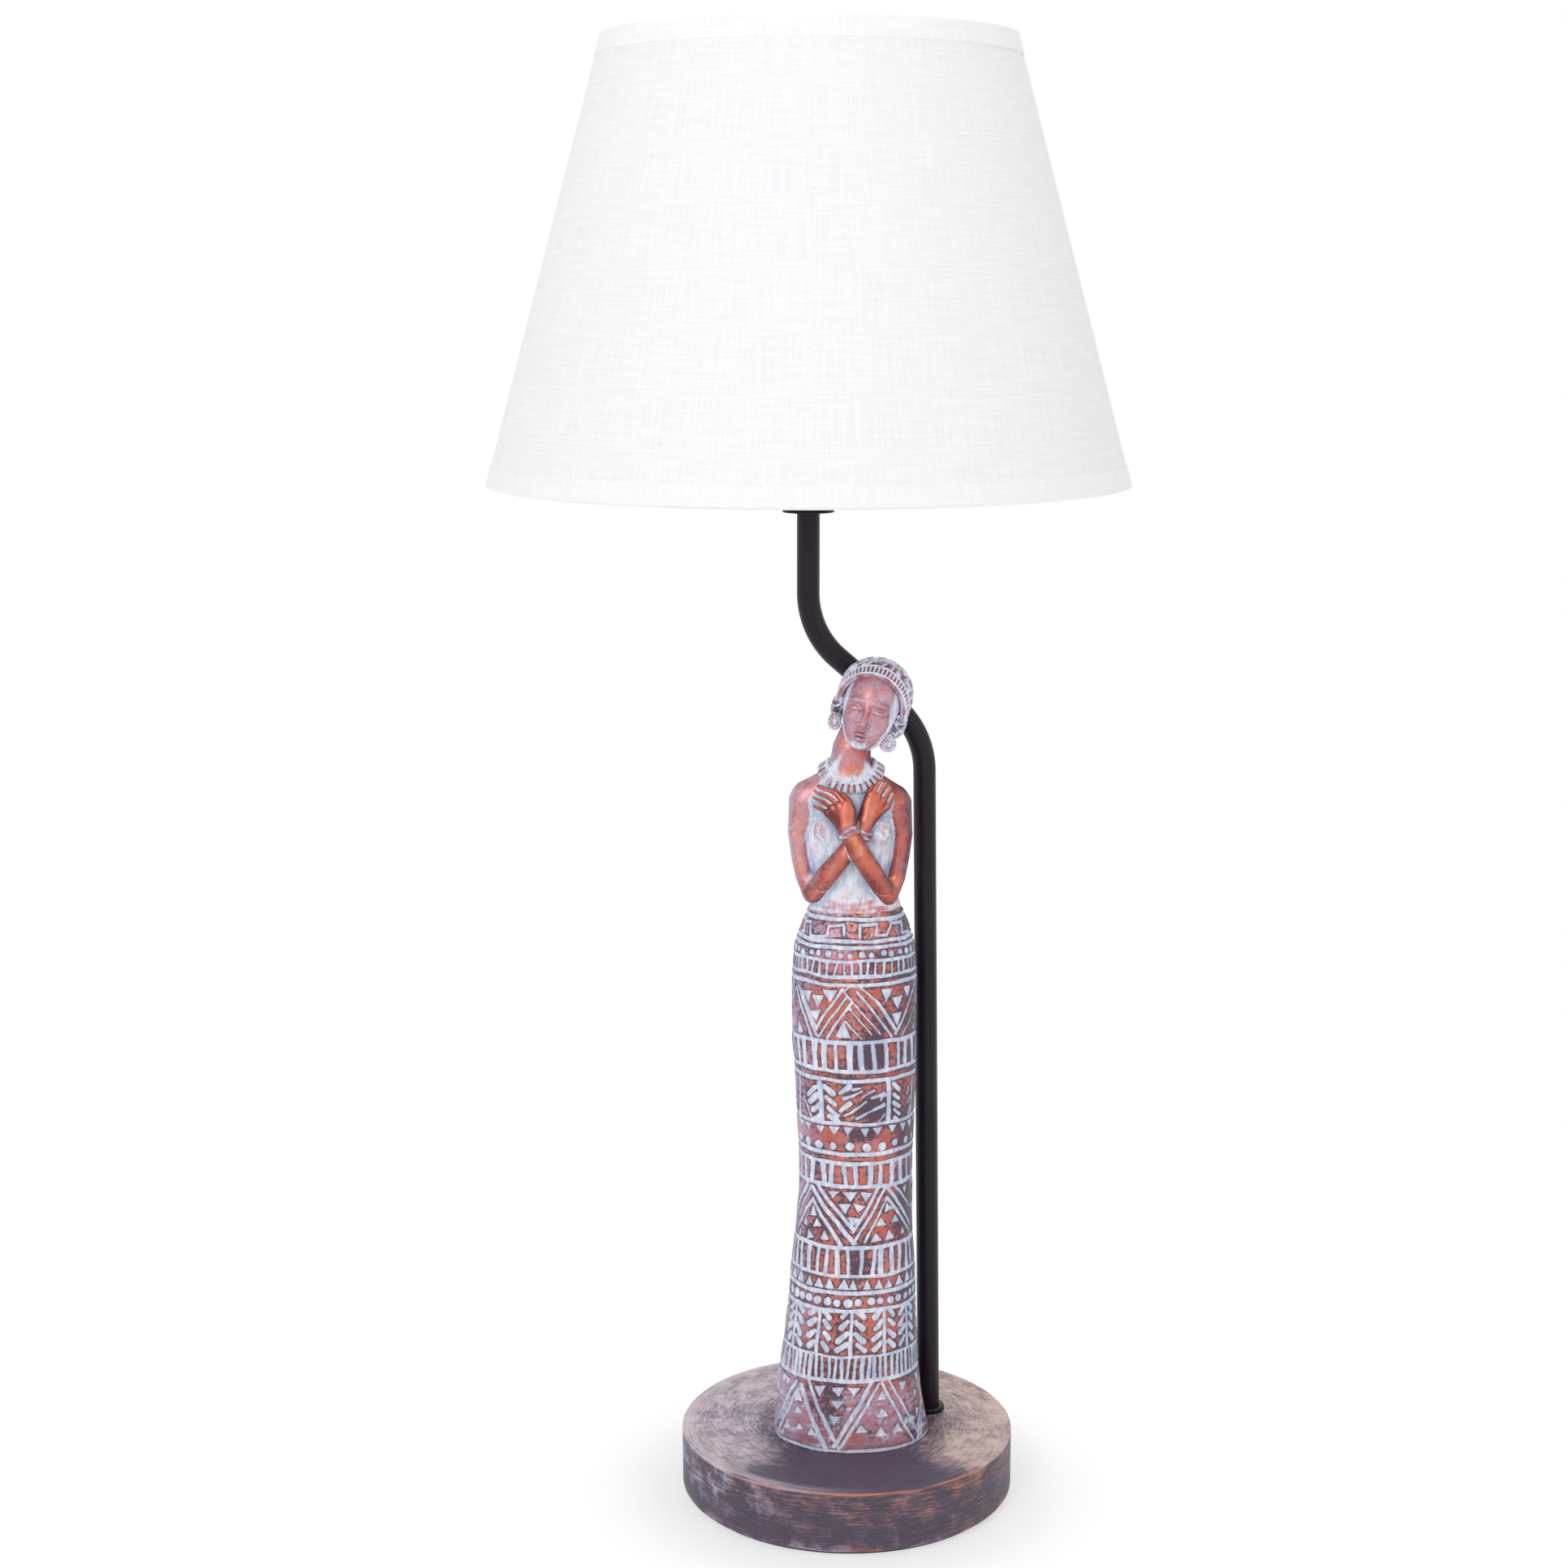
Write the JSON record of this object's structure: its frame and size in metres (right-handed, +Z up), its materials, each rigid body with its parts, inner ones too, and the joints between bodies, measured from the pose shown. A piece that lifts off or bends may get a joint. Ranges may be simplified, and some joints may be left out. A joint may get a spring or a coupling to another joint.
{
  "type": "table lamp",
  "caption": "Figural table lamp: a tall cast figure and a bent black tube on a round base, the tube carrying a lampholder, bulb and white cone shade.",
  "frame": {"origin": "centre of the base's round underside, on the felt", "axes": "+Z up, +Y to the back of the lamp, +X to the right as seen from the front"},
  "size_m": [0.28, 0.28, 0.6463],
  "materials": {
    "cast_base": "satin",
    "cast_figure": "satin",
    "felt": "matte",
    "black_rubber": "matte",
    "black_lacquer": "satin",
    "zinc_steel": "satin",
    "brass_parts": "satin",
    "black_plastic": "matte",
    "white_ceramic": "satin",
    "white_lacquer": "satin",
    "shade_cloth": "matte",
    "shade_sheet": "matte",
    "bulb_glass": "gloss",
    "bulb_metal": "satin",
    "bulb_insulator": "gloss",
    "filament": "matte"
  },
  "bodies": {
    "lamp": {"base_disc": "cast_base", "base_felt": "felt", "cord_bush": "black_rubber", "pole_tube": "black_lacquer", "foot_collar": "black_lacquer", "foot_washer": "zinc_steel", "foot_lock_washer": "zinc_steel", "foot_nut": "zinc_steel", "figure": "cast_figure", "figure_screws": "zinc_steel", "figure_washers": "zinc_steel", "figure_inserts": "brass_parts", "seat_disc": "black_lacquer", "holder_cap": "black_plastic", "holder_shell": "black_plastic", "holder_core": "white_ceramic", "holder_grub_screw": "zinc_steel", "centre_contact": "brass_parts", "side_contact": "brass_parts", "terminal_screws": "brass_parts"},
    "clamp_ring": {"shade_clamp_ring": "black_plastic"},
    "shade": {"fitter_ring": "white_lacquer", "fitter_arms": "white_lacquer", "shade_bottom_wire": "white_lacquer", "shade_top_wire": "white_lacquer", "shade_fabric": "shade_cloth", "shade_backing": "shade_sheet", "shade_top_tape": "shade_cloth", "shade_bottom_tape": "shade_cloth"},
    "bulb_foot": {"bulb_insulator": "bulb_insulator", "bulb_contact": "brass_parts"},
    "bulb": {"bulb_glass": "bulb_glass", "bulb_cap": "bulb_metal", "bulb_stem": "bulb_glass", "bulb_filaments": "filament"}
  },
  "joints": [
    {"name": "shade_turn", "type": "hinge", "parent": "lamp", "child": "shade", "pos_m": [-0.0182, 0.0143, 0.48], "axis": [0, 0, 1], "continuous": true},
    {"name": "clamp_ring_turn", "type": "hinge", "parent": "lamp", "child": "clamp_ring", "pos_m": [-0.0182, 0.0143, 0.486], "axis": [0, 0, 1], "range_deg": [0, 360]},
    {"name": "bulb_rise", "type": "slide", "parent": "lamp", "child": "bulb_foot", "axis": [0, 0, 1], "range_m": [0, 0.011]},
    {"name": "bulb_turn", "type": "hinge", "parent": "bulb_foot", "child": "bulb", "pos_m": [-0.0182, 0.0143, 0.49], "axis": [0, 0, 1], "range_deg": [0, 1080]}
  ],
  "couplings": [
    {"joint": "bulb_rise", "follows": "bulb_turn", "m_per_rad": 0.00057757}
  ]
}
